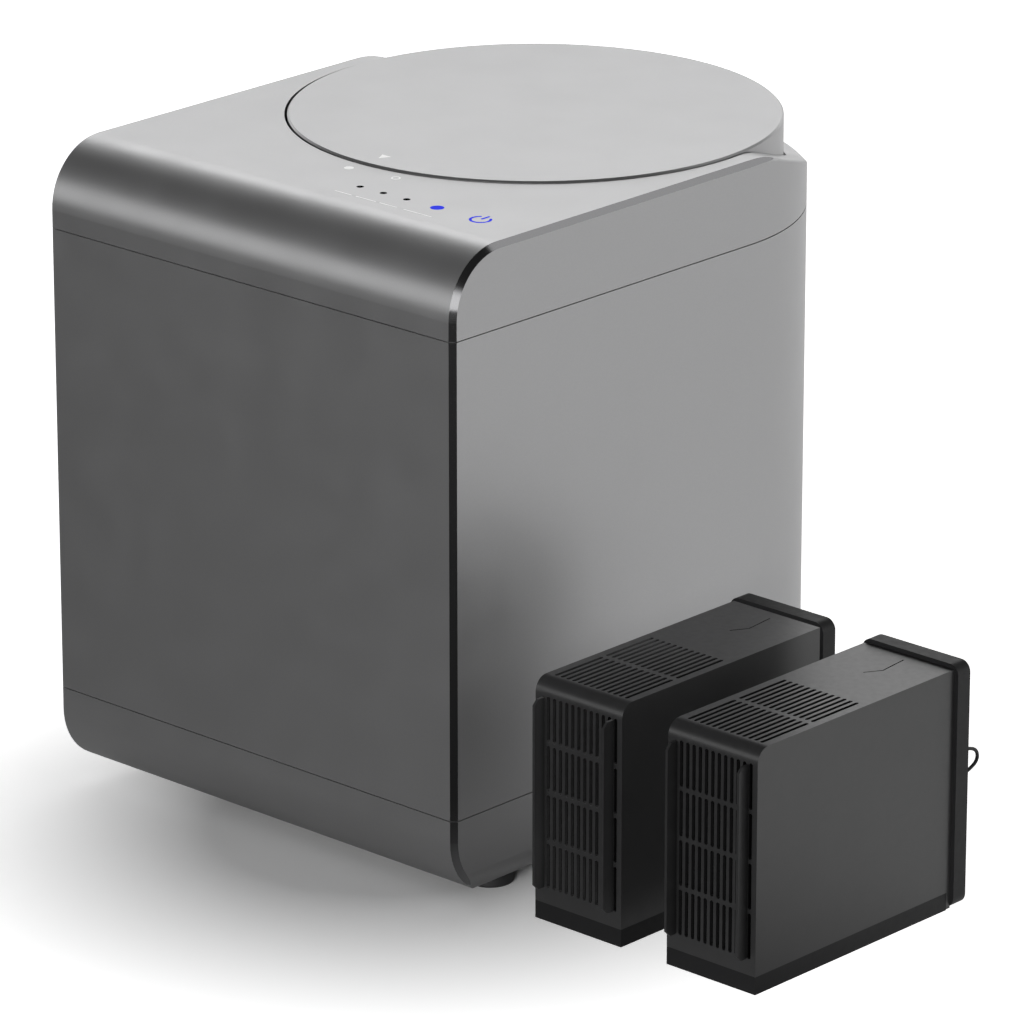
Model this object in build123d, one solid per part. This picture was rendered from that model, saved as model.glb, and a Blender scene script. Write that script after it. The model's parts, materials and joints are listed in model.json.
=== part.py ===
from build123d import *
import math
import os

# Electric food waste composter: a countertop machine with a lift-off round lid, a removable
# bucket with a stirrer driven from below, and two carbon filter cartridges that stand beside it.
# Frame: X right, Y towards the rear, Z up; origin on the floor under the middle of the machine.
# Every size is in millimetres.

# ---- case -----------------------------------------------------------------------------------
WIDTH = 300.0            # across the sides
DEPTH = 360.0            # front face to rear face
HEIGHT = 369.0           # floor to the flat top
FOOT_H = 9.0             # floor to the underside of the tray
TRAY_TOP = 57.0          # lower seam
COVER_H = 46.0           # upper seam to the flat top
SEAM = 0.6               # open joint line at each seam
WALL = 2.5               # moulded wall
LIP_T = 2.0              # tongue that locates the shell on the tray and under the cover
LIP_H = 6.0              # how far each tongue stands past its seam
LIP_ROOT = 5.0           # how far each tongue runs down its own part
EDGE_C = 3.0             # bevel that runs along the front and top edges
REAR_EDGE_R = 2.2        # rounding of the rim round the fall and the rear deck
REAR_R = 127.0           # rear corners in plan
FRONT_R = 36.0           # bends at the top and bottom of the front face
BASE_R = 16.0            # rounding under the sides and the rear
DECK_DROP = 28.0         # the rear deck lies this far below the flat top
RAMP_BACK = 12.0         # the flat top starts to fall this far behind the lid's axis
RAMP_DEG = 18.8          # slope of the fall
RAMP_R = 60.0            # both bends of the fall
FOOT_R = 13.0
FOOT_ROUND = 1.5
FOOT_FRONT_IN = (28.0, 58.0)   # front feet, in from the side and the front
FOOT_REAR_IN = (62.0, 54.0)    # rear feet, in from the side and the rear
FOOT_STUD_R = 4.0
FOOT_STUD_H = 2.0        # stud above the tray's floor
VENT_L, VENT_W, VENT_N, VENT_PITCH = 60.0, 4.0, 7, 9.0
VENT_BACK = 8.0          # middle of the tray's vents behind the motor's axis

# ---- lid, well and lock ------------------------------------------------------------------------
SIDE_LAND = 12.5         # flat top beside the well
LID_GAP = 1.5            # open ring between lid and well
LID_BEHIND = 2.0         # the lid's edge stands this far behind the rear face
LID_RISE = 1.0           # lid top stands just over the flat top
LID_UNDER = 2.0          # open line between the lid's skirt and the deck
LID_T = 3.0              # lid wall
LID_EDGE = 1.0           # bevel round the lid's top
LINER_T = 2.0
LINER_DROP = 13.0        # top of the liner plate below the lid's top
LINER_GAP = 2.5          # liner to the lock ring
GASKET_W, GASKET_H = 5.0, 2.0
GASKET_OVER = 0.5        # gasket past the liner's rim
GASKET_SEAT = 1.5        # deck inside the gasket
PIN_R = 5.0              # swivel pin between cap and liner
PIN_HEAD_R = 9.0
PIN_HEAD_T = 2.0
RUN = 0.05               # radial running clearance
END_PLAY = 0.3           # axial play of what turns
LOCK_W = 5.0
LOCK_T = 1.6
LOCK_N = 4
LUG_FROM = 45.0          # first lug
LUG_DEG = 12.0
HOOK_DEG = 16.0
LOCK_GAP_DEG = 1.0       # lug to hook, in plan, at rest
LUG_IN = 5.0             # how far a lug stands in from the skirt
LUG_Z = 2.0              # lug's foot above the skirt's edge
LUG_H = 3.0
HOOK_GAP = 2.0           # hooks to the skirt
HOOK_LIP = 5.5
HOOK_RISE = 8.0          # underside of a hook's lip above the deck
HOOK_T = 3.0

# ---- bucket and stirrer ------------------------------------------------------------------------
BUCKET_T = 1.5
RIM_W = 9.0              # rim, from the bucket's inside
RIM_T = 2.0
RIM_DROP = 8.0           # underside of the rim, which the chamber's shelf carries, below the deck
RIM_GAP = 3.0            # rim to the mouth it passes through
CHAMBER_GAP = 2.5        # bucket to chamber
CHAMBER_T = 1.5
CHAMBER_LIP = 8.0        # flange under the cover
HEATER_T, HEATER_H = 3.0, 45.0
HEATER_LIFT = 14.0       # heater above the chamber's underside
BUSH_R, BUSH_H = 20.0, 7.0
BUSH_SEAT = 6.0          # bush past its hole in the bucket's floor
STEM_R = 9.0             # stirrer's stem in the bucket's bush
SOCKET_R = 14.0
HEX_AF = 14.0            # drive dog, across flats
HEX_GAP = 0.5            # dog to socket, across flats
DOG_H = 9.0
DOG_CLEAR = 1.5          # dog and socket above the chamber's floor
SOCKET_TOP = 4.0         # metal between the dog and the bucket
HUB_R, HUB_TOP_R, HUB_H = 17.0, 9.0, 75.0
HUB_STRAIGHT = 12.0      # lower part of the hub, before its cone
HUB_EDGE = (4.0, 6.0)    # bevel round the hub's top
ARM_T, ARM_H, ARM_TILT = 5.0, 18.0, 28.0
ARM_GAP = 6.0            # lower arms to the bucket's wall
ARM_SHORT = 12.0         # upper arms are this much shorter
ARM_LIFT = (20.0, 62.0)  # arms above the bucket's floor
FIXED_LIFT, FIXED_H, FIXED_T, FIXED_L = 36.0, 10.0, 3.0, 42.0
BAIL_OUT = 3.0           # bail's wire outside the bucket's inner wall
BAIL_WIRE = 2.0
BAIL_LIFT = 3.0          # bail's axis above the rim
BAIL_PIN_R = 1.5
EAR_T, EAR_W, EAR_GAP = 2.0, 9.0, 0.5
EAR_WALL = 1.4           # metal round the bail's pin

# ---- drive -------------------------------------------------------------------------------------
MODULE = 2.0
PINION_N, GEAR_N = 14, 50
PRESSURE_DEG = 20.0
ADDENDUM, DEDENDUM = 0.9, 1.2   # shares of the module
BACKLASH = 0.25
TRAIN_DEG = -90.0        # the gear train runs forwards from the lid's axis
FACE_W = 9.0
GEAR_HOLES, GEAR_HOLE_R = 5, 9.0
PLATE_T = 3.0            # chassis plate
PLATE_EDGE = 12.0        # plate past its screws
PILLAR_N, PILLAR_IN = 4, 10.0   # pillars that carry the chamber, in from its wall
GEAR_LIFT = 2.0          # gears above the plate
GEAR_HEAD = 4.0          # gears to the chamber's underside
SHAFT_R = 6.0
COLLAR_W = 4.0
IDLER_PIN_R = 4.0
PIN_CAP_W, PIN_CAP_T = 3.0, 1.5
MOTOR_SHAFT_R = 4.0
MOTOR_SHAFT_GAP = 2.0
MOTOR_R, MOTOR_H = 30.0, 92.0
MOTOR_GAP = 7.0          # least gap from the motor to the air plenum
GEARBOX_H, MOTOR_STEP = 30.0, 5.0
BUSH_WALL = 4.0
POST_R = 5.0
POST_AT = (48.0, 22.0)   # tray posts: half spacing, and how far in front of the motor's axis

# ---- filter cartridges and their bays ----------------------------------------------------------
CART_W, CART_D, CART_H = 61.0, 158.0, 136.0
CART_WALL = 2.0
CAP_H = 10.0             # black foot of the case
CAP_END = 3.0            # the foot stops this far short of the flange
CAP_LIP = 3.0            # foot's plug inside the case
CART_BEND = 8.0          # front top edge
FLANGE_T = 11.0
FLANGE_OVER = 2.4        # flange past the case, on top and at the sides
FLANGE_R = 6.0
FLANGE_EDGE = 1.0
FLANGE_LIFT = 0.5        # flange clear of the floor
GRILLE_COLS, GRILLE_ROWS = 12, 4
GRILLE_LEFT, GRILLE_RIGHT = 8.0, 3.4   # plain strips beside the slots
GRILLE_FOOT, GRILLE_HEAD = 9.0, 8.6    # plain strips under and over the slots
SLOT_W, ROW_RIB = 2.3, 2.2
TOP_SLOTS, TOP_SLOT_W, TOP_SIDE = 13, 2.1, 4.85
TOP_START, TOP_LEN, TOP_RIB = 9.0, 37.0, 3.0
FIN_T, FIN_OUT = 1.6, 7.5
FIN_IN = 5.5             # left fin in from the side; the right one stands before the last slots
FIN_SHORT = 1.0          # fins end this far under the slots' top
GUIDE_LINE = [(-2.0, 36.0), (3.6, 26.7), (1.6, 7.4)]   # line on top: off the middle and the flange
GUIDE_LINE_W, GUIDE_LINE_D = 0.8, 0.5
LOOP_R = 1.0             # pull cord
LOOP_POINTS = [(0, 70), (12, 70.5), (25, 71), (37.5, 69.5), (47, 66.5), (48, 59.5), (38.5, 55.5),
               (26, 53.5), (13, 57), (0, 57)]
STAND_BACK = 36.0        # cartridges stand this far behind the front face
STAND_OUT = 25.0         # machine to the inner cartridge
STAND_APART = 32.0       # inner to outer cartridge
BAY_GAP = 0.6            # cartridge to bay, each side
BAY_MID = 5.8            # wall between the bays
BAY_WALL = 3.0
BAY_Z = 26.0             # bay floor
SEAT_IN = 19.0           # plane that the flanges stop on, in from the rear face
BAY_FRAME = 4.0          # rim round each bay's open front
FAN_S, FAN_D = 38.0, 18.0
FAN_DROP = 27.2          # fan's axis below the top of the bays
FAN_RIM = 1.5            # frame round the fan's bore
FAN_HUB_R = 9.0
FAN_BLADES, BLADE_T, BLADE_DEG = 7, 1.2, 38.0
FAN_PIN_R, FAN_TIP_GAP = 1.5, 1.0
FAN_NOSE = 3.0           # open space ahead of the rotor
SPIDER_T, SPIDER_W = 2.0, 2.5
PLENUM_EDGE = 1.0        # plenum past the fan, front and rear
DUCT_W, DUCT_T = 36.0, 1.5
DUCT_GAP = 1.0           # duct to the heater, and to the fan
DUCT_DROP = 21.0         # duct's top below the bucket's rim
DUCT_PORT = 34.0         # height of the port into the chamber

# ---- electrics ---------------------------------------------------------------------------------
BOARD_T = 1.6
PANEL_AT = 0.43          # row of marks, as a share of the flat top from the front bend to the well
MARK_PITCH = 17.0
DOT_FROM = 28.0          # first of three dots
DOT_R = 2.0
LED_FROM, LED_R = 84.0, 3.8
KEY_IN, KEY_R = 35.0, 6.5   # key in from the side
PANEL_BOARD = (118.0, 24.0)
PANEL_AHEAD = 4.0        # control board's middle ahead of the marks
PANEL_CHIP = (24.0, 16.0, 3.0)
PANEL_POST_R = 3.0
GUIDE_H = 9.0            # flat top to the control board
POWER_BOARD = (70.0, 60.0)
POWER_BOARD_GAP = 4.0    # board to the tray's post
POWER_BOARD_BACK = 62.0  # board's middle behind the front face
POWER_BOARD_LIFT = 12.0  # board above the tray's floor
TRANSFORMER = (32.0, 32.0, 26.0)
TRANSFORMER_AT = (-14.0, -2.0)
CAPACITOR_R, CAPACITOR_H, CAPACITOR_AT = 9.0, 24.0, (20.0, -12.0)
RELAY = (24.0, 14.0, 16.0)
RELAY_AT = (22.0, 13.0)
SOLDER = 0.5             # parts reach this far into their board
INLET_W, INLET_H, INLET_D = 28.0, 22.0, 24.0
INLET_WALL, INLET_RIM = 3.0, 3.0
INLET_GAP = 1.9          # inlet's rim above the bays' collar
INLET_FACE = 2.0
INLET_PINS = [(-7.0, -2.0), (0.0, 3.0), (7.0, -2.0)]
INLET_PIN_W, INLET_PIN_H, INLET_PIN_IN = 2.0, 4.0, 4.0
SCREW_R, SCREW_HEAD_R, SCREW_L = 2.0, 4.0, 12.0
SCREW_HEAD_H, SCREW_SOCKET_R, SCREW_SOCKET_D = 2.5, 1.6, 1.5

# ---- places that follow from the sizes above ---------------------------------------------------
half_w, half_d = WIDTH / 2, DEPTH / 2
cover_seam = HEIGHT - COVER_H
deck_z = HEIGHT - DECK_DROP
lid_top = HEIGHT + LID_RISE
skirt_z = deck_z + LID_UNDER
liner_top = lid_top - LINER_DROP
rim_z = deck_z - RIM_DROP

well_r = half_w - SIDE_LAND
lid_r = well_r - LID_GAP
lid_y = half_d - lid_r + LID_BEHIND       # lid, bucket and drive share this axis
lock_r = lid_r - LID_T - HOOK_GAP - HOOK_LIP - LOCK_W
liner_r = lock_r - LINER_GAP
gasket_r = liner_r + GASKET_OVER
mouth_r = gasket_r - GASKET_W - GASKET_SEAT
rim_r = mouth_r - RIM_GAP
bucket_r = rim_r - RIM_W
chamber_r = bucket_r + BUCKET_T + CHAMBER_GAP
arm_reach = bucket_r - ARM_GAP
bail_r, bail_z = bucket_r + BAIL_OUT, rim_z + RIM_T + BAIL_LIFT
ramp_y = lid_y + RAMP_BACK

bay_w = CART_W + 2 * BAY_GAP
bay_h = CART_H + 2 * BAY_GAP
bay_pitch = bay_w + BAY_MID
bay_top = BAY_Z + bay_h + BAY_WALL
seat_y = half_d - SEAT_IN
bay_front = seat_y - CART_D - BAY_GAP - BAY_WALL
tube_half = bay_pitch / 2 + bay_w / 2 + BAY_WALL
mouth_half = tube_half + FLANGE_OVER
mouth_top = bay_top + FLANGE_OVER
cart_y = -half_d + STAND_BACK
cart_x = (half_w + STAND_OUT, half_w + STAND_OUT + CART_W + STAND_APART)
slot_pitch = (CART_W - GRILLE_LEFT - GRILLE_RIGHT - SLOT_W) / (GRILLE_COLS - 1)
row_pitch = (CART_H - CAP_H - GRILLE_FOOT - GRILLE_HEAD + ROW_RIB) / GRILLE_ROWS
slot_h = row_pitch - ROW_RIB
top_pitch = (CART_W - 2 * TOP_SIDE - TOP_SLOT_W) / (TOP_SLOTS - 1)
fin_h = GRILLE_ROWS * row_pitch - ROW_RIB - FIN_SHORT

plate_z = bay_top
gear_z = plate_z + PLATE_T + GEAR_LIFT
chamber_floor = gear_z + FACE_W + GEAR_HEAD
dog_z = chamber_floor + CHAMBER_T + DOG_CLEAR
bucket_floor = dog_z + DOG_H + SOCKET_TOP
hub_top = bucket_floor + HUB_H
heater_z = chamber_floor + HEATER_LIFT

plenum_d = FAN_S + 2 * PLENUM_EDGE
fan_y, fan_z = bay_front - plenum_d / 2, plate_z - FAN_DROP
fan_bore = FAN_S / 2 - FAN_RIM
duct_y = (fan_y - FAN_S / 2, fan_y + FAN_S / 2)
keep_r = chamber_r + CHAMBER_T + HEATER_T + DUCT_GAP
duct_x = -max(math.sqrt(keep_r ** 2 - (lid_y - duct_y[1]) ** 2), tube_half + FAN_D + DUCT_GAP)
duct_top = rim_z - DUCT_DROP

pinion_r, gear_r = MODULE * PINION_N / 2, MODULE * GEAR_N / 2
motor_reach = lid_y - bay_front + plenum_d + MOTOR_GAP + MOTOR_R
idler_n = math.ceil((motor_reach - gear_r - pinion_r) / MODULE)   # brings the motor clear of the plenum
idler_r = MODULE * idler_n / 2
idler_y = lid_y - gear_r - idler_r
motor_y = idler_y - idler_r - pinion_r
pinion_turn = -TRAIN_DEG + (idler_n % 2) * 180 / PINION_N
post_x, post_y = POST_AT[0], motor_y - POST_AT[1]
vent_y = motor_y + VENT_BACK

bend_y = -half_d + FRONT_R
panel_y = bend_y + PANEL_AT * (lid_y - well_r - bend_y)
dot_x = [DOT_FROM + MARK_PITCH * k for k in range(3)]
key_x = half_w - KEY_IN
board_z = HEIGHT - GUIDE_H
board_x, board_y = (dot_x[0] + key_x) / 2, panel_y - PANEL_AHEAD
power_x = post_x + POST_R + POWER_BOARD_GAP + POWER_BOARD[0] / 2
power_y = -half_d + POWER_BOARD_BACK
power_z = FOOT_H + WALL + POWER_BOARD_LIFT
inlet_z = mouth_top + INLET_GAP + INLET_RIM + INLET_H / 2


def box(x0, x1, y0, y1, z0, z1):
    """Block between two corners."""
    return Pos((x0 + x1) / 2, (y0 + y1) / 2, (z0 + z1) / 2) * Box(x1 - x0, y1 - y0, z1 - z0)


def rod(x, y, z0, z1, r):
    """Upright cylinder."""
    return Pos(x, y, (z0 + z1) / 2) * Cylinder(r, z1 - z0)


def ring(x, y, z0, z1, r_out, r_in):
    """Upright tube."""
    return rod(x, y, z0, z1, r_out) - rod(x, y, z0 - 1, z1 + 1, r_in)


def turned(points, x=0.0, y=0.0):
    """Body of revolution about the upright axis at x, y, from (radius, height) points."""
    face = make_face(Polyline(*[(r, 0, z) for r, z in points], close=True))
    return Pos(x, y, 0) * revolve(face, Axis.Z)


def plan(inset, bevel=0.0):
    """Plan outline of the case, moved inwards: bevelled front corners and large rear ones."""
    w, f, b, r = half_w - inset, -half_d + inset, half_d - inset, REAR_R - inset
    yc = half_d - REAR_R
    xc = half_w - REAR_R
    s = r * math.sqrt(0.5)
    right = [
        Line((w, f + bevel), (w, yc)),
        ThreePointArc((w, yc), (xc + s, yc + s), (xc, b)),
    ]
    left = [
        ThreePointArc((-xc, b), (-xc - s, yc + s), (-w, yc)),
        Line((-w, yc), (-w, f + bevel)),
    ]
    front = [Line((-w + bevel, f), (w - bevel, f))]
    if bevel:
        front += [Line((-w, f + bevel), (-w + bevel, f)), Line((w - bevel, f), (w, f + bevel))]
    return make_face(Curve() + right + [Line((xc, b), (-xc, b))] + left + front)


def top_profile(inset, floor):
    """Side view of the case above a floor height: front bend, flat top, fall and rear deck."""
    a = math.radians(RAMP_DEG)
    z = HEIGHT - inset
    f = -half_d + inset
    cy, cz = -half_d + FRONT_R, HEIGHT - FRONT_R
    rf = FRONT_R - inset
    r1, r2 = RAMP_R - inset, RAMP_R + inset
    c1y, c1z = ramp_y, HEIGHT - RAMP_R
    straight = (DECK_DROP - 2 * RAMP_R * (1 - math.cos(a))) / math.sin(a)
    c2y = ramp_y + 2 * RAMP_R * math.sin(a) + straight * math.cos(a)
    c2z = deck_z + RAMP_R
    p1 = (c1y + r1 * math.sin(a), c1z + r1 * math.cos(a))
    p2 = (c2y - r2 * math.sin(a), c2z - r2 * math.cos(a))
    m1 = (c1y + r1 * math.sin(a / 2), c1z + r1 * math.cos(a / 2))
    m2 = (c2y - r2 * math.sin(a / 2), c2z - r2 * math.cos(a / 2))
    end = (half_d + 20, deck_z - inset)
    s = math.sqrt(0.5)
    lines = [
        Line((f, floor), (f, cz)),
        ThreePointArc((f, cz), (cy - rf * s, cz + rf * s), (cy, z)),
        Line((cy, z), (c1y, z)),
        ThreePointArc((c1y, z), m1, p1),
        Line(p1, p2),
        ThreePointArc(p2, m2, (c2y, deck_z - inset)),
        Line((c2y, deck_z - inset), end),
        Line(end, (end[0], floor)),
        Line((end[0], floor), (f, floor)),
    ]
    return Plane.YZ * make_face(Curve() + lines)


def base_profile(inset, ceiling):
    """Side view of the tray below a ceiling height, with the bend under the front."""
    f, b, z = -half_d + inset, half_d + 20, FOOT_H + inset
    cy, cz, r = -half_d + FRONT_R, FOOT_H + FRONT_R, FRONT_R - inset
    s = math.sqrt(0.5)
    lines = [
        Line((f, ceiling), (f, cz)),
        ThreePointArc((f, cz), (cy - r * s, cz - r * s), (cy, z)),
        Line((cy, z), (b, z)),
        Line((b, z), (b, ceiling)),
        Line((b, ceiling), (f, ceiling)),
    ]
    return Plane.YZ * make_face(Curve() + lines)


def across(face, half, bevel):
    """Extrude a side view to both sides, with its rim bevelled over the last stretch."""
    core = extrude(face, half - bevel, both=True)
    if not bevel:
        return core
    right = extrude(Pos(half - bevel, 0, 0) * face, bevel, taper=45)
    return core + right + mirror(right, Plane.YZ)


def block(inset, z0, z1, bevel=0.0):
    """Upright block over the plan outline."""
    return Pos(0, 0, z0) * extrude(plan(inset, bevel), z1 - z0)


def tray_solid(inset, z1, bevel):
    """The tray's outer form, or its hollow when moved inwards."""
    solid = block(inset, FOOT_H + inset, z1)
    low = solid.edges().filter_by(lambda e: e.center().Z < FOOT_H + inset + 0.01)
    low = low.filter_by(lambda e: e.center().Y > -half_d + inset + 1)
    solid = fillet(low, BASE_R - inset)
    return solid & across(base_profile(inset, z1 + bevel + 1), half_w - inset, bevel)


def cover_solid(inset, z0):
    """The top cover's form, moved inwards."""
    return block(inset, z0, HEIGHT + 1) & across(top_profile(inset, z0 - 1), half_w - inset, 0)


def on_rim(edge):
    """True for the edges round the cover's top, and for its front corners."""
    p = edge @ 0.5
    if p.Y < 1 - half_d:
        return p.Z > cover_seam + 0.01 and half_w - abs(p.X) < 0.01
    rear = Vector(max(abs(p.X) - half_w + REAR_R, 0), max(p.Y - half_d + REAR_R, 0))
    upright = abs((edge @ 1).Z - (edge @ 0).Z) > edge.length - 0.01
    return abs(rear.length - REAR_R) < 0.01 and p.Z > cover_seam + 0.01 and not upright


def cover_outside():
    """The cover's outer form: its rim is rounded, then bevelled along the front and the sides."""
    solid = cover_solid(0, cover_seam)
    solid = fillet([edge for edge in solid.edges() if on_rim(edge)], REAR_EDGE_R)
    return solid & across(top_profile(0, cover_seam - EDGE_C - 1), half_w, EDGE_C)


# ---- case parts --------------------------------------------------------------------------------
def tongue(z0, z1):
    """Ring that locates two case parts, against the shell's inner wall."""
    return block(WALL, z0, z1) - block(WALL + LIP_T, z0 - 1, z1 + 1)


def bay_mouth():
    """Opening through the rear walls for the filter bay."""
    return box(-mouth_half, mouth_half, seat_y - BAY_WALL, half_d + 5, BAY_Z - BAY_WALL, mouth_top)


def foot_places():
    """Left and right, front and rear."""
    x1, y1 = half_w - FOOT_FRONT_IN[0], -half_d + FOOT_FRONT_IN[1]
    x2, y2 = half_w - FOOT_REAR_IN[0], half_d - FOOT_REAR_IN[1]
    return {"foot_front_left": (-x1, y1), "foot_front_right": (x1, y1),
            "foot_rear_left": (-x2, y2), "foot_rear_right": (x2, y2)}


def base_tray():
    floor = FOOT_H + WALL
    tray = tray_solid(0, TRAY_TOP, EDGE_C) - tray_solid(WALL, TRAY_TOP + 1, 0)
    tray += tongue(TRAY_TOP - LIP_ROOT, TRAY_TOP + LIP_H) - bay_mouth()
    for x, y in foot_places().values():
        tray -= rod(x, y, FOOT_H - 1, floor + 1, FOOT_STUD_R)
    for i in range(VENT_N):
        x = (i - (VENT_N - 1) / 2) * VENT_PITCH
        tray -= box(x - VENT_W / 2, x + VENT_W / 2, vent_y - VENT_L / 2, vent_y + VENT_L / 2,
                    FOOT_H - 1, floor + 1)
    for x in (-1, 1):
        tray += rod(x * post_x, post_y, floor - 0.5, plate_z, POST_R)
        tray -= rod(x * post_x, post_y, plate_z - SCREW_L, plate_z + 1, SCREW_R)
    dx, dy = POWER_BOARD[0] / 2 - POST_R, POWER_BOARD[1] / 2 - POST_R
    for x in (power_x - dx, power_x + dx):
        for y in (power_y - dy, power_y + dy):
            tray += rod(x, y, floor - 0.5, power_z, POST_R - 1)
    return tray - bay_mouth()


def body_shell():
    z0, z1 = TRAY_TOP + SEAM, cover_seam - SEAM
    shell = block(0, z0, z1, EDGE_C) - block(WALL, z0 - 1, z1 + 1)
    shell -= bay_mouth()
    return shell - box(-INLET_W / 2, INLET_W / 2, half_d - INLET_D, half_d + 5,
                       inlet_z - INLET_H / 2, inlet_z + INLET_H / 2)


def top_cover():
    outer = cover_outside()
    cover = outer - cover_solid(WALL, cover_seam - 1)
    cover += rod(0, lid_y, deck_z - WALL, HEIGHT + 1, well_r + WALL) & outer
    cover += tongue(cover_seam - LIP_H, cover_seam + LIP_ROOT)
    cover -= rod(0, lid_y, deck_z, HEIGHT + 1, well_r)
    cover -= rod(0, lid_y, cover_seam - LIP_H - 1, HEIGHT + 1, mouth_r)
    for x in dot_x:
        cover -= rod(x, panel_y, board_z, HEIGHT + 1, DOT_R)
    cover -= rod(LED_FROM, panel_y, board_z, HEIGHT + 1, LED_R)
    cover -= rod(key_x, panel_y, board_z, HEIGHT + 1, KEY_R)
    dx, dy = PANEL_BOARD[0] / 2 - PANEL_POST_R, PANEL_BOARD[1] / 2 - PANEL_POST_R
    for x in (board_x - dx, board_x + dx):
        for y in (board_y - dy, board_y + dy):
            cover += rod(x, y, board_z, HEIGHT - WALL + 0.5, PANEL_POST_R)
    return cover


def foot(x, y):
    """Round rubber foot with a stud through the tray's floor."""
    pad = rod(x, y, 0, FOOT_H, FOOT_R)
    pad = fillet(pad.edges().filter_by(GeomType.CIRCLE).sort_by(Axis.Z)[0], FOOT_ROUND)
    return pad + rod(x, y, FOOT_H - 1, FOOT_H + WALL + FOOT_STUD_H, FOOT_STUD_R)


def filter_bay():
    """Two square tubes with open fronts, and a collar with a pocket for the flanges."""
    z0 = BAY_Z - BAY_WALL
    bay = box(-tube_half, tube_half, bay_front, seat_y, z0, bay_top)
    bay += box(-mouth_half, mouth_half, seat_y - BAY_WALL, half_d + 1, z0, mouth_top)
    bay &= block(0, 0, HEIGHT)
    pocket = mouth_half - BAY_WALL
    bay -= box(-pocket, pocket, seat_y, half_d + 5, BAY_Z, mouth_top - BAY_WALL)
    for x in (-bay_pitch / 2, bay_pitch / 2):
        w = bay_w / 2
        bay -= box(x - w, x + w, bay_front + BAY_WALL, half_d + 5, BAY_Z, BAY_Z + bay_h)
        w -= BAY_FRAME
        bay -= box(x - w, x + w, bay_front - 1, seat_y, BAY_Z + BAY_FRAME, BAY_Z + bay_h - BAY_FRAME)
    return bay


def air_plenum():
    """Box that spreads the fan's air over the front of both bays."""
    x, y0, t = tube_half, bay_front - plenum_d, DUCT_T
    plenum = box(-x, x, y0, bay_front, BAY_Z - BAY_WALL, bay_top)
    plenum -= box(-x + t, x - t, y0 + t, bay_front + 1, BAY_Z - BAY_WALL + t, bay_top - t)
    return plenum - along_x(-x - 1, -x + t + 1, fan_bore)


def along_x(x0, x1, r):
    """Cylinder on the fan's axis."""
    return Pos((x0 + x1) / 2, fan_y, fan_z) * Rot(0, 90, 0) * Cylinder(r, x1 - x0)


def fan_frame():
    """Square axial fan frame with a spider that carries the rotor's pin."""
    x1 = -tube_half
    x0 = x1 - FAN_D
    frame = box(x0, x1, *duct_y, fan_z - FAN_S / 2, fan_z + FAN_S / 2)
    frame -= along_x(x0 - 1, x1 + 1, fan_bore)
    for turn in (45, 135):
        frame += Pos(x1 - SPIDER_T / 2, fan_y, fan_z) * Rot(turn, 0, 0) * Box(SPIDER_T, FAN_S - 2, SPIDER_W)
    frame += along_x(x1 - SPIDER_T, x1, FAN_HUB_R)
    return frame + along_x(x0 + 2, x1 - 1, FAN_PIN_R)


def fan_rotor():
    """Hub and twisted blades that turn on the frame's pin."""
    length = FAN_D - SPIDER_T - END_PLAY - FAN_NOSE
    tip = fan_bore - FAN_TIP_GAP
    rotor = Cylinder(FAN_HUB_R, length)
    for i in range(FAN_BLADES):
        blade = Rot(BLADE_DEG, 0, 0) * Box(tip - FAN_HUB_R + 2, BLADE_T, length - 1)
        rotor += Rot(0, 0, i * 360 / FAN_BLADES) * Pos((FAN_HUB_R + tip) / 2, 0, 0) * blade
    rotor &= Cylinder(tip, length)
    rotor -= Cylinder(FAN_PIN_R + RUN, length + 2)
    return Pos(-tube_half - SPIDER_T - END_PLAY - length / 2, fan_y, fan_z) * Rot(0, 90, 0) * rotor


def air_duct():
    """Square duct from the chamber's port down to the fan."""
    y0, y1 = duct_y
    x1, x0 = duct_x, duct_x - DUCT_W
    z0, z1, z2 = fan_z - FAN_S / 2, fan_z + FAN_S / 2, duct_top - DUCT_PORT
    t = DUCT_T
    duct = box(x0, x1, y0, y1, z0, duct_top)
    duct += box(x1 - 1, -tube_half - FAN_D, y0, y1, z0, z1)
    duct += box(x1 - 1, 0, y0, y1, z2, duct_top)
    duct -= box(x0 + t, x1 - t, y0 + t, y1 - t, z0 + t, duct_top - t)
    duct -= box(x1 - t - 1, -tube_half, y0 + t, y1 - t, z0 + t, z1 - t)
    duct -= box(x1 - t - 1, 1, y0 + t, y1 - t, z2 + t, duct_top - t)
    return duct - rod(0, lid_y, 0, HEIGHT, chamber_r + CHAMBER_T)


def chassis_plate():
    """Plate over the bays that carries the drive and the chamber."""
    top, wide = plate_z + PLATE_T, post_x + PLATE_EDGE
    plate = rod(0, lid_y, plate_z, top, chamber_r)
    plate += box(-wide, wide, post_y - PLATE_EDGE, lid_y, plate_z, top)
    holes = [
        (-post_x, post_y, SCREW_R), (post_x, post_y, SCREW_R), (0, lid_y, SHAFT_R + BUSH_WALL),
        (0, motor_y, MOTOR_SHAFT_R + MOTOR_SHAFT_GAP), (0, idler_y, IDLER_PIN_R),
    ]
    for x, y, r in holes:
        plate -= rod(x, y, plate_z - 1, top + 1, r)
    r = chamber_r - PILLAR_IN
    for k in range(PILLAR_N):
        a = math.radians((k + 0.5) * 360 / PILLAR_N)
        plate += rod(r * math.cos(a), lid_y + r * math.sin(a), top - 0.5, chamber_floor, POST_R)
    return plate


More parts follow.
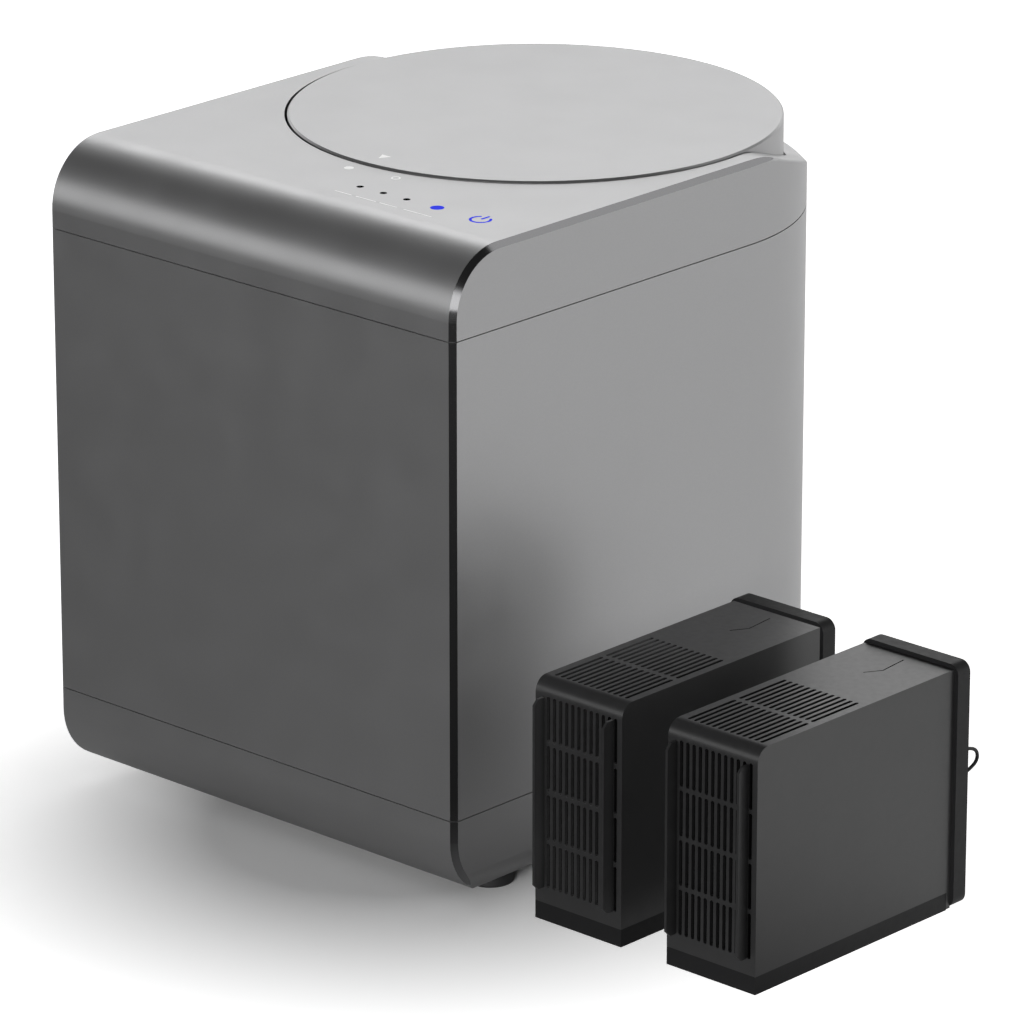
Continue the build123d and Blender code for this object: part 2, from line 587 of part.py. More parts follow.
def chamber_liner():
    """Pan that the bucket hangs in, with a shelf for its rim and a flange under the cover."""
    r, t, z0 = chamber_r, CHAMBER_T, chamber_floor
    top = deck_z - WALL
    m = mouth_r
    pan = turned([
        (0, z0), (r + t, z0), (r + t, rim_z - t), (m + t, rim_z - t), (m + t, top - t),
        (m + CHAMBER_LIP, top - t), (m + CHAMBER_LIP, top), (m, top), (m, rim_z), (r, rim_z),
        (r, z0 + t), (0, z0 + t),
    ], 0, lid_y)
    pan -= rod(0, lid_y, z0 - 1, z0 + t + 1, SHAFT_R + BUSH_WALL)
    y0, y1 = duct_y
    port = box(-r - 10, 0, y0 + DUCT_T, y1 - DUCT_T, duct_top - DUCT_PORT + DUCT_T, duct_top - DUCT_T)
    return pan - port


def heater_band():
    r = chamber_r + CHAMBER_T
    return ring(0, lid_y, heater_z, heater_z + HEATER_H, r + HEATER_T, r)


def lock_ring():
    """Ring on the well floor with hooks that the lid's lugs turn under."""
    z = deck_z
    part = ring(0, lid_y, z, z + LOCK_T, lock_r + LOCK_W, lock_r)
    rise, top = z + HOOK_RISE, z + HOOK_RISE + HOOK_T
    hook = ring(0, lid_y, z, top, lock_r + LOCK_W, lock_r + 1)
    hook += ring(0, lid_y, rise, top, lock_r + LOCK_W + HOOK_LIP, lock_r + 1)
    turn = -(LUG_DEG / 2 + LOCK_GAP_DEG + HOOK_DEG / 2)
    for k in range(LOCK_N):
        part += hook & Pos(0, lid_y, 0) * wedge(LUG_FROM + k * 360 / LOCK_N + turn, HOOK_DEG)
    return part


def wedge(middle, width):
    """Tall slice of a disc, as wide as the given angle."""
    r = lid_r * 1.2
    a0, a1 = math.radians(middle - width / 2), math.radians(middle + width / 2)
    face = make_face(Polyline((0, 0), (r * math.cos(a0), r * math.sin(a0)),
                              (r * math.cos(a1), r * math.sin(a1)), close=True))
    return extrude(face, HEIGHT * 1.2)


# ---- lid ---------------------------------------------------------------------------------------
def lid_cap():
    """Drum that covers the well: flat top, deep skirt, lugs inside the skirt."""
    r, t = lid_r, LID_T
    cap = turned([
        (0, lid_top), (r - LID_EDGE, lid_top), (r, lid_top - LID_EDGE), (r, skirt_z), (r - t, skirt_z),
        (r - t, lid_top - t), (0, lid_top - t),
    ], 0, lid_y)
    lug = ring(0, lid_y, skirt_z + LUG_Z, skirt_z + LUG_Z + LUG_H, r - t + 1, r - t - LUG_IN)
    for k in range(LOCK_N):
        cap += lug & Pos(0, lid_y, 0) * wedge(LUG_FROM + k * 360 / LOCK_N, LUG_DEG)
    return cap


def lid_swivel_pin():
    """Pin under the cap whose head carries the liner."""
    z = liner_top - LINER_T - END_PLAY - PIN_HEAD_T
    return rod(0, lid_y, z, lid_top - LID_T, PIN_R) + rod(0, lid_y, z, z + PIN_HEAD_T, PIN_HEAD_R)


def lid_liner():
    """Inner plate with a rim that holds the gasket."""
    r, t, z = liner_r, LINER_T, liner_top
    foot_z = deck_z + GASKET_H
    return turned([
        (PIN_R + RUN, z - t), (PIN_R + RUN, z), (r, z), (r, foot_z), (r - t, foot_z), (r - t, z - t),
    ], 0, lid_y)


def lid_gasket():
    return ring(0, lid_y, deck_z, deck_z + GASKET_H, gasket_r, gasket_r - GASKET_W)


# ---- bucket and stirrer ------------------------------------------------------------------------
def bucket():
    r, t, z0 = bucket_r, BUCKET_T, bucket_floor
    top = rim_z + RIM_T
    hole = BUSH_R - BUSH_SEAT
    pot = turned([
        (hole, z0), (r + t, z0), (r + t, rim_z), (rim_r, rim_z), (rim_r, top), (r, top),
        (r, z0 + t), (hole, z0 + t),
    ], 0, lid_y)
    hinge_x = bail_r + BAIL_WIRE + EAR_GAP
    for side in (-1, 1):
        x = side * (hinge_x + EAR_T / 2)
        ear = box(x - EAR_T / 2, x + EAR_T / 2, lid_y - EAR_W / 2, lid_y + EAR_W / 2, top - 0.5, bail_z)
        ear += Pos(x, lid_y, bail_z) * Rot(0, 90, 0) * Cylinder(BAIL_PIN_R + RUN + EAR_WALL, EAR_T)
        pot += ear - Pos(x, lid_y, bail_z) * Rot(0, 90, 0) * Cylinder(BAIL_PIN_R + RUN, EAR_T + 2)
    return pot


def bucket_bush():
    """Sealed bearing in the bucket's floor."""
    r, z0 = BUSH_R, bucket_floor
    return turned([
        (STEM_R + RUN, z0), (r - BUSH_SEAT, z0), (r - BUSH_SEAT, z0 + BUCKET_T), (r, z0 + BUCKET_T),
        (r, z0 + BUSH_H - 2), (r - 2, z0 + BUSH_H), (STEM_R + RUN, z0 + BUSH_H),
    ], 0, lid_y)


def fixed_blades():
    """Two flat bars on the bucket's wall that the stirrer works against."""
    r, z = bucket_r, bucket_floor + FIXED_LIFT
    bar = box(r - FIXED_L, r + 5, lid_y - FIXED_T / 2, lid_y + FIXED_T / 2, z, z + FIXED_H)
    bar &= rod(0, lid_y, 0, HEIGHT, r)
    return Compound(children=[bar.solid(), mirror(bar, Plane.YZ).solid()])


def stirrer():
    """Stem, cone and tilted arms; the socket under the bucket sits over the drive dog."""
    z0 = bucket_floor + BUSH_H + END_PLAY
    foot_z = bucket_floor - END_PLAY
    core = turned([
        (0, dog_z), (SOCKET_R, dog_z), (SOCKET_R, foot_z), (STEM_R, foot_z), (STEM_R, z0), (HUB_R, z0),
        (HUB_R, z0 + HUB_STRAIGHT), (HUB_TOP_R, hub_top - HUB_EDGE[1]),
        (HUB_TOP_R - HUB_EDGE[0], hub_top), (0, hub_top),
    ])
    flats = RegularPolygon((HEX_AF + HEX_GAP) / 2, 6, major_radius=False)
    core -= Pos(0, 0, dog_z - 1) * extrude(flats, DOG_H + 1.5)
    inner = HUB_TOP_R / 2
    for lift, reach, start in zip(ARM_LIFT, (arm_reach, arm_reach - ARM_SHORT), (0, 90)):
        for turn in (start, start + 180):
            arm = Box(reach - inner, ARM_T, ARM_H)
            arm = Pos((inner + reach) / 2, 0, bucket_floor + lift) * Rot(ARM_TILT, 0, 0) * arm
            core += Rot(0, 0, turn) * arm
    return Pos(0, lid_y, 0) * core


def bail_handle():
    """Half-round wire handle that folds down on the bucket's rim, with a pin at each end."""
    r, w = bail_r, BAIL_WIRE
    handle = revolve(Plane.XZ * Pos(r, 0) * Circle(w), Axis.Z, 180)
    x1 = r + w + 2 * EAR_GAP + EAR_T
    pin = Pos((r - w + x1) / 2, 0, 0) * Rot(0, 90, 0) * Cylinder(BAIL_PIN_R, x1 - r + w)
    end = Pos(r, 0, 0) * Sphere(w + 0.2) + pin
    return Pos(0, lid_y, bail_z) * (handle + end + mirror(end, Plane.YZ))


# ---- drive -------------------------------------------------------------------------------------
def flank(radius, teeth):
    """Half the angle of a tooth at a radius, on the involute."""
    r = MODULE * teeth / 2
    base = r * math.cos(math.radians(PRESSURE_DEG))
    pressure = math.acos(min(1.0, base / radius))
    at_pitch = math.tan(math.radians(PRESSURE_DEG)) - math.radians(PRESSURE_DEG)
    half = (math.pi * MODULE / 2 - BACKLASH) / (2 * r)
    return half + at_pitch - (math.tan(pressure) - pressure)


def gear(teeth, turn):
    """Spur gear on the common module, with one tooth's middle at the given angle."""
    r = MODULE * teeth / 2
    root, tip = r - MODULE * DEDENDUM, r + MODULE * ADDENDUM
    side = [root, r - MODULE * 0.35, r + MODULE * 0.3, tip]
    points = []
    for k in range(teeth):
        middle = math.radians(turn + k * 360 / teeth)
        rise = [(radius, middle - flank(radius, teeth)) for radius in side]
        fall = [(radius, middle + flank(radius, teeth)) for radius in reversed(side)]
        points += [(radius * math.cos(a), radius * math.sin(a)) for radius, a in rise + fall]
    return extrude(make_face(Polyline(*points, close=True)), FACE_W)


def drive_gear():
    wheel = gear(GEAR_N, TRAIN_DEG) - Cylinder(SHAFT_R, 4 * FACE_W)
    mid = (gear_r + SHAFT_R) / 2
    for k in range(GEAR_HOLES):
        wheel -= Rot(0, 0, k * 360 / GEAR_HOLES) * Pos(mid, 0, 0) * Cylinder(GEAR_HOLE_R, 4 * FACE_W)
    return Pos(0, lid_y, gear_z) * wheel


def idler_gear():
    wheel = gear(idler_n, -TRAIN_DEG + 180 / idler_n) - Cylinder(IDLER_PIN_R + RUN, 4 * FACE_W)
    return Pos(0, idler_y, gear_z) * wheel


def motor_pinion():
    """Pinion cut on the motor's shaft, which runs down to the motor's face."""
    shaft = rod(0, 0, plate_z - gear_z + END_PLAY, FACE_W / 2, MOTOR_SHAFT_R)
    return Pos(0, motor_y, gear_z) * (gear(PINION_N, pinion_turn) + shaft)


def idler_pin():
    top = gear_z + FACE_W + END_PLAY
    pin = rod(0, idler_y, plate_z, top + PIN_CAP_T, IDLER_PIN_R)
    return pin + rod(0, idler_y, top, top + PIN_CAP_T, IDLER_PIN_R + PIN_CAP_W)


def drive_shaft():
    """Shaft with a shoulder under the gear, and the drive dog's seat on top."""
    collar = plate_z + PLATE_T + END_PLAY
    return rod(0, lid_y, plate_z, dog_z, SHAFT_R) + rod(0, lid_y, collar, gear_z, SHAFT_R + COLLAR_W)


def drive_dog():
    """Hexagon on the end of the shaft that drives the bucket's stirrer."""
    return Pos(0, lid_y, dog_z) * extrude(RegularPolygon(HEX_AF / 2, 6, major_radius=False), DOG_H)


def shaft_bush_lower():
    return ring(0, lid_y, plate_z, plate_z + PLATE_T, SHAFT_R + BUSH_WALL, SHAFT_R + RUN)


def shaft_bush_upper():
    z0, z1 = chamber_floor - 2, chamber_floor + CHAMBER_T
    return ring(0, lid_y, z0, z1, SHAFT_R + BUSH_WALL, SHAFT_R + RUN)


def drive_motor():
    """Geared motor that hangs under the chassis plate."""
    r, z0, z1 = MOTOR_R, plate_z - MOTOR_H, plate_z
    can = r - MOTOR_STEP
    return turned([
        (0, z0), (can - 3, z0), (can, z0 + 3), (can, z1 - GEARBOX_H - 2), (r, z1 - GEARBOX_H),
        (r, z1 - 4), (r - 2, z1 - 2), (r - 6, z1 - 2), (r - 6, z1), (0, z1),
    ], 0, motor_y)


# ---- filter cartridges -------------------------------------------------------------------------
def grille(middle, places, width, length):
    """Slots with trimmed corners, one at each place round a middle."""
    c, w, h = width * 0.3, width / 2, length / 2
    slot = make_face(Polyline((-w, c - h), (c - w, -h), (w - c, -h), (w, c - h),
                              (w, h - c), (w - c, h), (c - w, h), (-w, h - c), close=True))
    return Sketch() + [middle * place * slot for place in places]


def cartridge_case(x):
    """Dark case with a slotted front and top, guide fins on the front and an open foot."""
    y, w, d = cart_y, CART_W, CART_D
    z0, z1, t = CAP_H, CART_H, CART_WALL
    case = box(x, x + w, y, y + d, z0, z1)
    case = fillet(case.edges().filter_by(Axis.X).group_by(Axis.Z)[-1].sort_by(Axis.Y)[0], CART_BEND)
    case += box(x, x + w, y + d - CAP_END, y + d, FLANGE_LIFT, z0 + 1)
    hollow = box(x + t, x + w - t, y + t, y + d - t - CAP_END, z0 - 1, z1 - t)
    hollow = fillet(hollow.edges().filter_by(Axis.X).group_by(Axis.Z)[-1].sort_by(Axis.Y)[0], CART_BEND - t)
    case -= hollow
    xm = x + w / 2
    front = Plane(origin=(xm, y, z0 + GRILLE_FOOT), x_dir=(1, 0, 0), z_dir=(0, -1, 0))
    middle = Pos((GRILLE_LEFT - GRILLE_RIGHT) / 2, (GRILLE_ROWS - 1) * row_pitch / 2 + slot_h / 2)
    places = GridLocations(slot_pitch, row_pitch, GRILLE_COLS, GRILLE_ROWS)
    case -= extrude(front * grille(middle, places, SLOT_W, slot_h), t + 1, both=True)
    lid = Plane(origin=(xm, y + TOP_START, z1), x_dir=(1, 0, 0), z_dir=(0, 0, 1))
    middle = Pos(0, TOP_LEN + TOP_RIB / 2)
    places = GridLocations(top_pitch, TOP_LEN + TOP_RIB, TOP_SLOTS, 2)
    case -= extrude(lid * grille(middle, places, TOP_SLOT_W, TOP_LEN), t + 1, both=True)
    line = Polyline(*[(xm + dx, y + d - dy, z1) for dx, dy in GUIDE_LINE])
    case -= extrude(trace(line, GUIDE_LINE_W), GUIDE_LINE_D, dir=(0, 0, -1))
    for fx in (x + FIN_IN, x + w - GRILLE_RIGHT - (SLOT_W + slot_pitch) / 2):
        fin = box(fx - FIN_T / 2, fx + FIN_T / 2, y - FIN_OUT, y + t / 2,
                  z0 + GRILLE_FOOT, z0 + GRILLE_FOOT + fin_h)
        case += chamfer(fin.edges().filter_by(Axis.X).group_by(Axis.Y)[0], FIN_OUT * 0.4)
    return case


def cartridge_cap(x):
    """Black foot that closes the case."""
    y, t = cart_y, CART_WALL
    cap = box(x, x + CART_W, y, y + CART_D - CAP_END, 0, CAP_H)
    plug = box(x + t, x + CART_W - t, y + t, y + CART_D - t - CAP_END, CAP_H - 1, CAP_H + CAP_LIP)
    return cap + plug


def cartridge_flange(x):
    """Black end plate that fills the bay's mouth."""
    y = cart_y + CART_D
    o = FLANGE_OVER
    plate = box(x - o, x + CART_W + o, y, y + FLANGE_T, FLANGE_LIFT, CART_H + o)
    tops = plate.edges().filter_by(Axis.Y)
    plate = fillet(tops, FLANGE_R)
    return chamfer(plate.faces().sort_by(Axis.Y)[-1].edges(), FLANGE_EDGE)


def carbon_bed(x):
    """Filter medium inside the case."""
    y0, y1, t = cart_y, cart_y + CART_D - CAP_END, CART_WALL
    return box(x + t, x + CART_W - t, y0 + t + 1, y1 - t, CAP_H + CAP_LIP, CART_H - t - CART_BEND)


def route(x):
    """Points of the pull cord, which leaves the middle of the flange and comes back to it."""
    y = cart_y + CART_D + FLANGE_T
    return [(x + CART_W / 2, y + dy, z) for dy, z in LOOP_POINTS]


def bend_radii(points):
    """Each corner's arc is as large as its two runs allow."""
    radii = []
    for a, b, c in zip(points, points[1:], points[2:]):
        u, v = Vector(b) - Vector(a), Vector(c) - Vector(b)
        turn = math.radians(u.get_angle(v))
        radii.append(0.45 * min(u.length, v.length) / math.tan(turn / 2))
    return radii


def pull_loop(x):
    """Thin cord loop that pulls the cartridge out of its bay."""
    points = route(x)
    radii = bend_radii(points)
    path = FilletPolyline(*points, radius=radii)
    tube = sweep(Plane(origin=path @ 0, z_dir=path % 0) * Circle(LOOP_R), path)
    print("pull loop length", round(path.length, 1), "radii", [round(r, 1) for r in radii],
          "volume ratio", round(tube.volume / (path.length * math.pi * LOOP_R ** 2), 4))
    return tube


# ---- electrics ---------------------------------------------------------------------------------
def control_board():
    w, d = PANEL_BOARD
    board = Pos(board_x, board_y, board_z - BOARD_T / 2) * Box(w, d, BOARD_T)
    chip = Box(*PANEL_CHIP)
    return board + Pos(board_x, board_y, board_z - BOARD_T - PANEL_CHIP[2] / 2 + SOLDER) * chip


def light_guides(places, r):
    """Short clear rods from the board to the flat top."""
    rods = [rod(x, panel_y, board_z, HEIGHT, r).solid() for x in places]
    return rods[0] if len(rods) == 1 else Compound(children=rods)


def power_board():
    """Mains board with a transformer, a capacitor and a relay."""
    w, d = POWER_BOARD
    board = Pos(0, 0, BOARD_T / 2) * Box(w, d, BOARD_T)
    foot_z = BOARD_T - SOLDER
    board += Pos(*TRANSFORMER_AT, foot_z + TRANSFORMER[2] / 2) * Box(*TRANSFORMER)
    board += Pos(*CAPACITOR_AT, foot_z + CAPACITOR_H / 2) * Cylinder(CAPACITOR_R, CAPACITOR_H)
    board += Pos(*RELAY_AT, foot_z + RELAY[2] / 2) * Box(*RELAY)
    return Pos(power_x, power_y, power_z) * board


def power_inlet():
    """Three-pin appliance inlet, flush in the rear wall."""
    w, h, y1, t = INLET_W / 2, INLET_H / 2, half_d, INLET_WALL
    y0, rim = y1 - INLET_D, INLET_RIM
    inlet = box(-w, w, y0, y1 + INLET_FACE, inlet_z - h, inlet_z + h)
    inlet += box(-w - rim, w + rim, y1, y1 + INLET_FACE, inlet_z - h - rim, inlet_z + h + rim)
    inlet -= box(-w + t, w - t, y0 + t + 1, y1 + 5, inlet_z - h + t, inlet_z + h - t)
    for x, z in INLET_PINS:
        inlet += box(x - INLET_PIN_W / 2, x + INLET_PIN_W / 2, y0 + t, y1 - INLET_PIN_IN,
                     inlet_z + z - INLET_PIN_H / 2, inlet_z + z + INLET_PIN_H / 2)
    return inlet


def case_screws():
    """Screws through the chassis plate into the tray's posts."""
    screws = []
    z = plate_z + PLATE_T
    for side in (-1, 1):
        x = side * post_x
        screw = rod(x, post_y, z, z + SCREW_HEAD_H, SCREW_HEAD_R)
        screw -= rod(x, post_y, z + SCREW_HEAD_H - SCREW_SOCKET_D, z + 2 * SCREW_HEAD_H, SCREW_SOCKET_R)
        screw += rod(x, post_y, plate_z - SCREW_L + 1, z + 0.5, SCREW_R)
        screws.append(screw.solid())
    return Compound(children=screws)


# ---- build -------------------------------------------------------------------------------------
nodes = {
    "base_tray": base_tray(),
    "body_shell": body_shell(),
    "top_cover": top_cover(),
    "filter_bay": filter_bay(),
    "air_plenum": air_plenum(),
    "fan_frame": fan_frame(),
    "fan_rotor": fan_rotor(),
    "air_duct": air_duct(),
    "chassis_plate": chassis_plate(),
    "chamber_liner": chamber_liner(),
    "heater_band": heater_band(),
    "lock_ring": lock_ring(),
    "lid_cap": lid_cap(),
    "lid_swivel_pin": lid_swivel_pin(),
    "lid_liner": lid_liner(),
    "lid_gasket": lid_gasket(),
    "bucket": bucket(),
    "bucket_bush": bucket_bush(),
    "fixed_blades": fixed_blades(),
    "stirrer": stirrer(),
    "bail_handle": bail_handle(),
    "drive_gear": drive_gear(),
    "idler_gear": idler_gear(),
    "idler_pin": idler_pin(),
    "motor_pinion": motor_pinion(),
    "drive_shaft": drive_shaft(),
    "drive_dog": drive_dog(),
    "shaft_bush_lower": shaft_bush_lower(),
    "shaft_bush_upper": shaft_bush_upper(),
    "drive_motor": drive_motor(),
    "control_board": control_board(),
    "indicator_windows": light_guides(dot_x, DOT_R),
    "status_light": light_guides([LED_FROM], LED_R),
    "power_key": light_guides([key_x], KEY_R),
    "power_board": power_board(),
    "power_inlet": power_inlet(),
    "chassis_screws": case_screws(),
}
for name, (x, y) in foot_places().items():
    nodes[name] = foot(x, y)
for name, x in zip(("inner", "outer"), cart_x):
    nodes[f"cartridge_case_{name}"] = cartridge_case(x)
    nodes[f"cartridge_cap_{name}"] = cartridge_cap(x)
    nodes[f"cartridge_flange_{name}"] = cartridge_flange(x)
    nodes[f"carbon_bed_{name}"] = carbon_bed(x)
    nodes[f"pull_loop_{name}"] = pull_loop(x)

os.makedirs("parts", exist_ok=True)
for name, solid in nodes.items():
    export_step(solid, f"parts/{name}.step")
print(len(nodes), "nodes")
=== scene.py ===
"""Looks of an electric food waste composter and its two filter cartridges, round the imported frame."""
import json
import math

import bmesh
import bpy
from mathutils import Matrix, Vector

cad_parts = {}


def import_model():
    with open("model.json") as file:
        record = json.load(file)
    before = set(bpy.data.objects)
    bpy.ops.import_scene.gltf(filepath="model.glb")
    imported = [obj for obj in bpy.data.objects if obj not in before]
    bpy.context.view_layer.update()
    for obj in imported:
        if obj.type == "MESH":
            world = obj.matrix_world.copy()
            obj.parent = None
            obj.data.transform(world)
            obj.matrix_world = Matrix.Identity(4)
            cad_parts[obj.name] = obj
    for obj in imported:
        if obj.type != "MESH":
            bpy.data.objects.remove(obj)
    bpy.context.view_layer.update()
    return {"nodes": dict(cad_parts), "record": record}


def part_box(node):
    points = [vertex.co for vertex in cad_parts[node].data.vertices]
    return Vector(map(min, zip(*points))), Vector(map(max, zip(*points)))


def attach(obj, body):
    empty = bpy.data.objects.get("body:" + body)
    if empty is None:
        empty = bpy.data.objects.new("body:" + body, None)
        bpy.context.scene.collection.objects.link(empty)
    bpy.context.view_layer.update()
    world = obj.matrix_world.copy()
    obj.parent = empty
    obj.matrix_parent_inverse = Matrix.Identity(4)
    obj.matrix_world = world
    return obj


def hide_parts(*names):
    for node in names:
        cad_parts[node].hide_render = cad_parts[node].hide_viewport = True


MM = 0.001

# Camera: it looks down on the front right corner from 4 m away.
CAMERA_AT = (2.494, -2.670, 1.438)
CAMERA_TURN = 42.76      # degrees round from straight ahead
CAMERA_DOWN = 19.44      # degrees below level
SENSOR = 36.0
LENS = 246.1

# Pull cords, from the middle of each cartridge's end plate: (how far behind it, height), in mm.
LOOP_POINTS = [(0, 70), (12, 70.5), (25, 71), (37.5, 69.5), (47, 66.5), (48, 59.5), (38.5, 55.5),
               (26, 53.5), (13, 57), (0, 57)]
LOOP_D = 2.0 * MM

# Printed marks, in mm and degrees.
PRINT_H = 0.04                # thickness of the print
KEY_RING_R = 5.4              # power symbol, to the middle of its line
KEY_LINE = 1.5
KEY_GAP_DEG = 85.0            # open part of the ring
KEY_BAR = (1.2, 6.3)          # lower and upper end of its bar, from the ring's middle
LOCK_MARK_R = 146.5           # dots beside the lid, from its axis
LOCK_MARKS = (-90.2, -77.8)   # where they lie round it: the full dot, then the open one
LOCK_DOT_R = 2.7
LOCK_RING_LINE = 0.9
LID_MARK_R = 121.0            # triangle on the lid, from its axis
LID_MARK_DEG = -89.5
LID_MARK_SIZE = 4.2           # from its middle to its tip
LABEL_Y = -14.0               # caption strokes, in front of the lights
LABEL_LENGTHS = (11.5, 14.0, 12.0, 19.5)
LABEL_X = (-15.9, 0.7, 16.9, 38.1)    # their middles, from the middle of the three dots
LABEL_W = 0.8

# Bright-cut bevel of the case.
BEVEL_LEAN = math.sqrt(0.5)   # sideways part of its normal
BEVEL_SLACK = 0.012
BEVEL_FROM_X = 146.5 * MM     # clear of the round back and of the lid
BEVEL_FROM_Z = 26 * MM        # clear of the rounding under the sides
BEVEL_FORWARD = -0.05         # below that height, only what leans forward too

# Painted shade in the slots of the cartridges: how far the occlusion search reaches, and how open a place
# is when fully shaded and when plain.
PAINTED_SHADE_REACH = 12 * MM
PAINTED_SHADE_OPEN = (0.35, 0.75)


# ---- materials ---------------------------------------------------------------------------------
class Finish:
    """A Principled material and short calls that build its node tree."""

    def __init__(self, name, color, rough, metal=0.0, **sockets):
        self.material = bpy.data.materials.new(name)
        self.material.use_nodes = True
        self.tree = self.material.node_tree
        self.shader = next(n for n in self.tree.nodes if n.type == "BSDF_PRINCIPLED")
        self.color = color
        self.rough = rough
        self.bumps = []
        self.shader.inputs["Base Color"].default_value = (*color, 1)
        self.shader.inputs["Roughness"].default_value = rough
        self.shader.inputs["Metallic"].default_value = metal
        for socket, value in sockets.items():
            self.shader.inputs[socket.replace("_", " ")].default_value = value
        self.place = self.node("ShaderNodeTexCoord").outputs["Object"]

    def node(self, kind, **settings):
        made = self.tree.nodes.new(kind)
        for key, value in settings.items():
            setattr(made, key, value)
        return made

    def link(self, out, socket):
        self.tree.links.new(out, socket)

    def stretched(self, scale):
        """Object coordinates scaled by an amount along each axis."""
        mapping = self.node("ShaderNodeMapping")
        mapping.inputs["Scale"].default_value = scale
        self.link(self.place, mapping.inputs["Vector"])
        return mapping.outputs["Vector"]

    def noise(self, size, detail=2.0, stretch=(1, 1, 1)):
        """Noise whose features are about the given size in metres."""
        noise = self.node("ShaderNodeTexNoise")
        noise.inputs["Scale"].default_value = 1 / size
        noise.inputs["Detail"].default_value = detail
        self.link(self.stretched(stretch), noise.inputs["Vector"])
        return noise.outputs["Fac"]

    def cells(self, size, feature="F1", stretch=(1, 1, 1)):
        cells = self.node("ShaderNodeTexVoronoi", feature=feature)
        cells.inputs["Scale"].default_value = 1 / size
        self.link(self.stretched(stretch), cells.inputs["Vector"])
        return cells.outputs["Distance"]

    def ranged(self, value, low, high, start=0.3, end=0.7):
        scale = self.node("ShaderNodeMapRange")
        self.link(value, scale.inputs["Value"])
        for socket, number in zip(("From Min", "From Max", "To Min", "To Max"), (start, end, low, high)):
            scale.inputs[socket].default_value = number
        return scale.outputs["Result"]

    def tint(self, value, dark, light, start=0.3, end=0.7):
        """Colour that runs between two shades of the base colour."""
        mix = self.node("ShaderNodeMix", data_type="RGBA")
        colors = [s for s in mix.inputs if s.type == "RGBA"]
        colors[0].default_value = (*[c * dark for c in self.color], 1)
        colors[1].default_value = (*[min(1, c * light) for c in self.color], 1)
        self.link(self.ranged(value, 0, 1, start, end), mix.inputs["Factor"])
        out = next(s for s in mix.outputs if s.type == "RGBA")
        self.link(out, self.shader.inputs["Base Color"])
        return self

    def gloss(self, value, spread, start=0.3, end=0.7):
        """Roughness that varies about its own value."""
        self.link(self.ranged(value, self.rough - spread, self.rough + spread, start, end),
                  self.shader.inputs["Roughness"])
        return self

    def math(self, operation, *values):
        node = self.node("ShaderNodeMath", operation=operation)
        for socket, value in zip(node.inputs, values):
            if isinstance(value, float):
                socket.default_value = value
            else:
                self.link(value, socket)
        return node.outputs["Value"]

    def swap(self, socket, mask, other):
        """Where the mask is 1, the shader's socket takes another value."""
        target = self.shader.inputs[socket]
        kind, wire = ("RGBA", "RGBA") if isinstance(other, tuple) else ("FLOAT", "VALUE")
        mix = self.node("ShaderNodeMix", data_type=kind)
        ends = [s for s in mix.inputs if s.type == wire and s.name in "AB"]
        if target.links:
            self.link(target.links[0].from_socket, ends[0])
        else:
            ends[0].default_value = target.default_value
        ends[1].default_value = other
        self.link(mask, mix.inputs["Factor"])
        self.link(next(s for s in mix.outputs if s.type == wire), target)

    def bump(self, value, depth, strength=1.0):
        """Relief of the given depth in metres, on top of any relief added before."""
        bump = self.node("ShaderNodeBump")
        bump.inputs["Distance"].default_value = depth
        bump.inputs["Strength"].default_value = strength
        self.link(value, bump.inputs["Height"])
        if self.bumps:
            self.link(self.bumps[-1].outputs["Normal"], bump.inputs["Normal"])
        self.bumps.append(bump)
        self.link(bump.outputs["Normal"], self.shader.inputs["Normal"])
        return self


def satin_paint(name, cut_bevel=False):
    """Metallic grey paint: fine flake, a faint orange-peel and soft broad sheen."""
    m = Finish(name, (0.44, 0.44, 0.445), 0.34, 0.76)
    flake = m.noise(0.35 * MM, 3.0)
    m.tint(flake, 0.96, 1.04)
    m.gloss(m.noise(30 * MM, 3.0), 0.02)
    m.bump(flake, 0.010 * MM, 0.35).bump(m.noise(2.4 * MM, 1.0), 0.012 * MM, 0.3)
    if cut_bevel:
        polish_bevel(m)
    return m


def polish_bevel(m):
    """Bright-cut finish on the bevel, whose faces lean 45 degrees out to either side."""
    facing = m.node("ShaderNodeSeparateXYZ")
    m.link(m.node("ShaderNodeNewGeometry").outputs["True Normal"], facing.inputs["Vector"])
    place = m.node("ShaderNodeSeparateXYZ")
    m.link(m.place, place.inputs["Vector"])
    sideways = m.math("ABSOLUTE", facing.outputs["X"])
    leaning = m.math("COMPARE", sideways, BEVEL_LEAN, BEVEL_SLACK)
    above = m.math("GREATER_THAN", place.outputs["Z"], BEVEL_FROM_Z)
    forward = m.math("LESS_THAN", facing.outputs["Y"], BEVEL_FORWARD)
    outside = m.math("GREATER_THAN", m.math("ABSOLUTE", place.outputs["X"]), BEVEL_FROM_X)
    spot = m.math("MULTIPLY", m.math("MAXIMUM", above, forward), outside)
    mask = m.math("MULTIPLY", leaning, spot)
    for socket, cut in (("Base Color", (0.52, 0.52, 0.53, 1)), ("Roughness", 0.14), ("Metallic", 1.0)):
        m.swap(socket, mask, cut)


def grained(name, color, rough, grain=0.5 * MM, depth=0.03 * MM, **sockets):
    """Moulded plastic with a fine spark-eroded grain."""
    m = Finish(name, color, rough, **sockets)
    m.tint(m.noise(18 * MM, 4.0), 0.93, 1.07)
    m.gloss(m.noise(4 * MM, 4.0), 0.04)
    return m.bump(m.noise(grain, 2.0), depth, 0.6)


